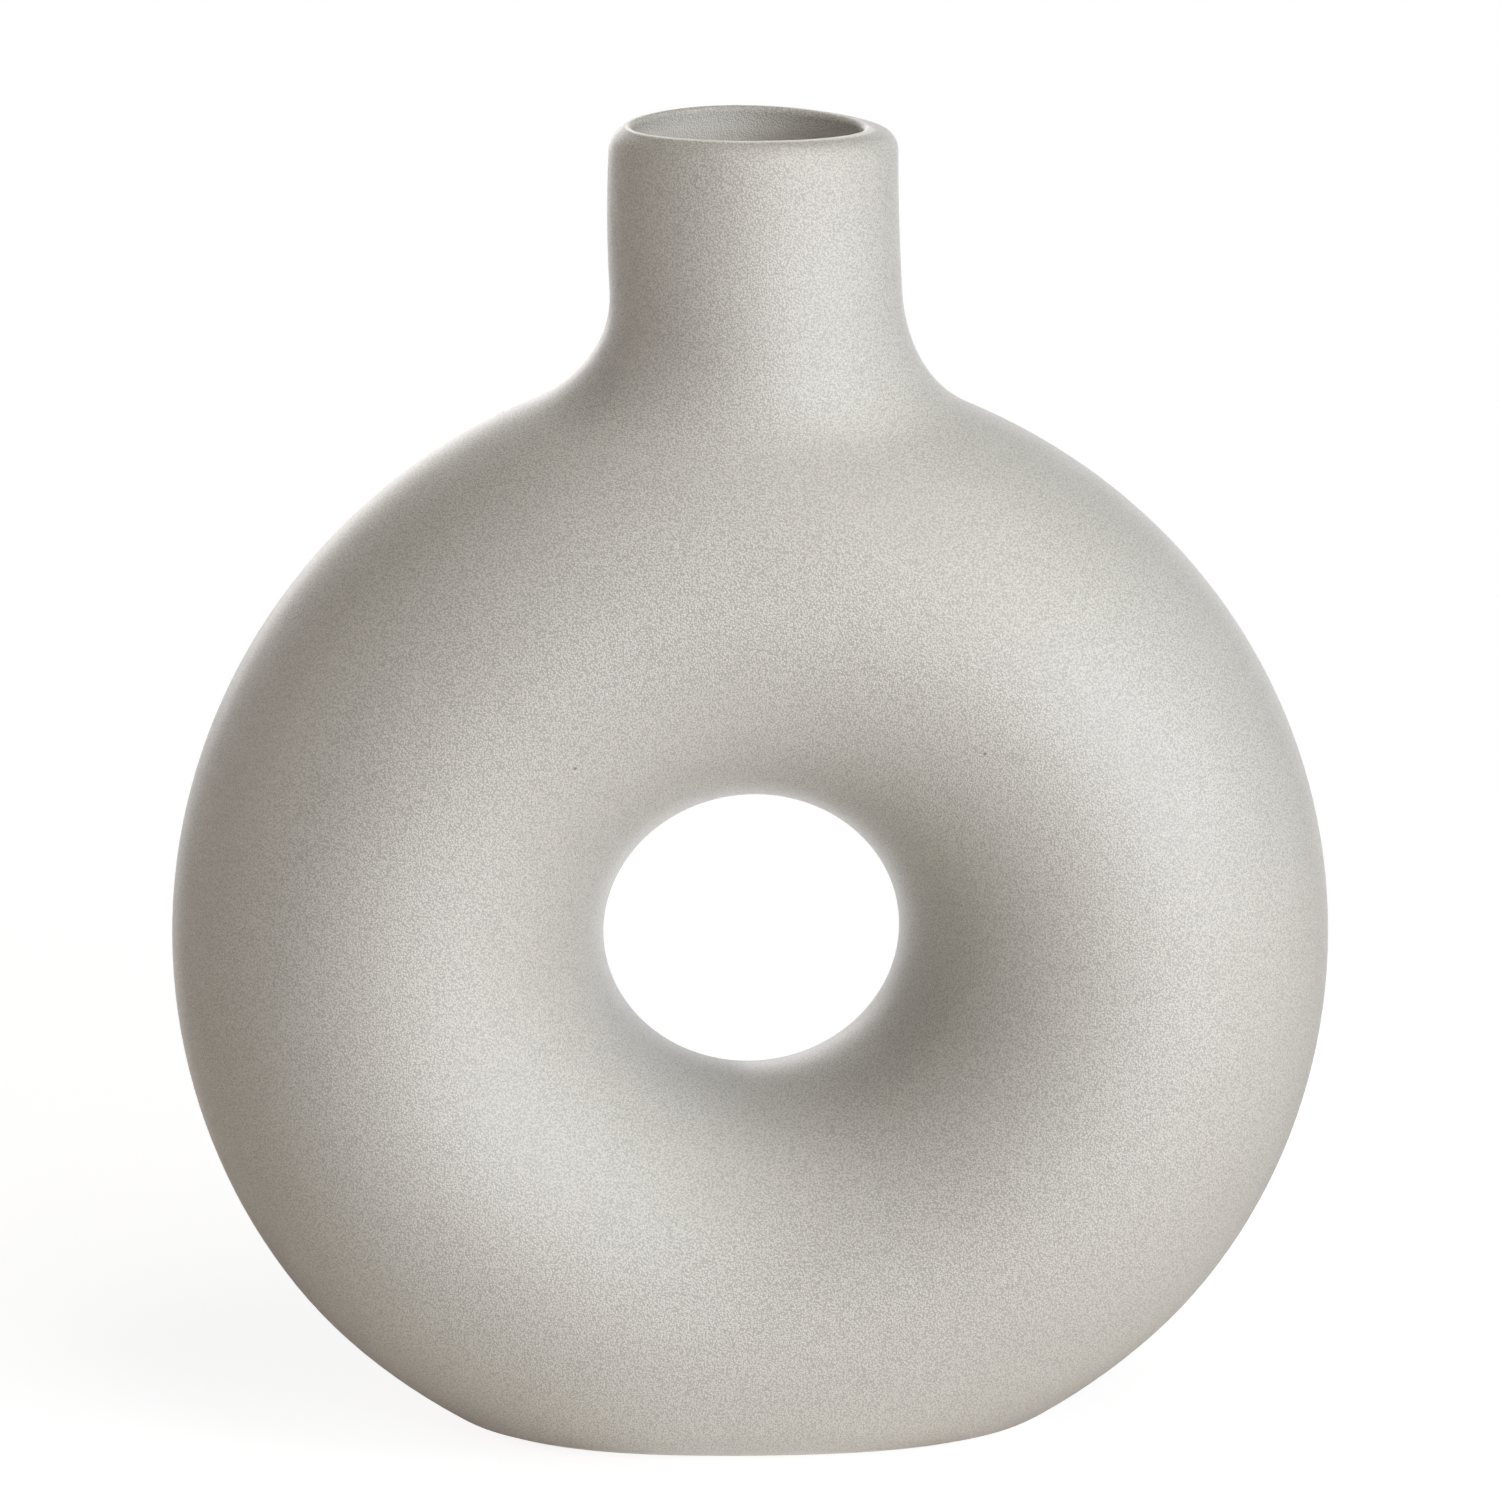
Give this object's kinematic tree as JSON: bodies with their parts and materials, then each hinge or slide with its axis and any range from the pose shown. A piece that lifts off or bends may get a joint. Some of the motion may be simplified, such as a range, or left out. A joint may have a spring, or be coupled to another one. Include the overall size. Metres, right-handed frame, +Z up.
{
  "type": "donut vase",
  "caption": "Upright ring-shaped hollow vase with a round hole through its middle, a flat foot and a short round neck for stems.",
  "frame": {"origin": "on the table, under the middle of the foot", "axes": "+Z up along the neck, -Y the front, +X to the right seen from the front; the hole through the ring runs along Y"},
  "size_m": [0.175, 0.076, 0.2],
  "materials": {
    "glazed_stoneware": "matt, finely sanded glaze",
    "bare_stoneware": "unglazed, smooth"
  },
  "bodies": {
    "root": {"ring_front_half": "glazed_stoneware", "ring_back_half": "glazed_stoneware", "neck": "glazed_stoneware", "foot": "bare_stoneware"}
  },
  "joints": []
}
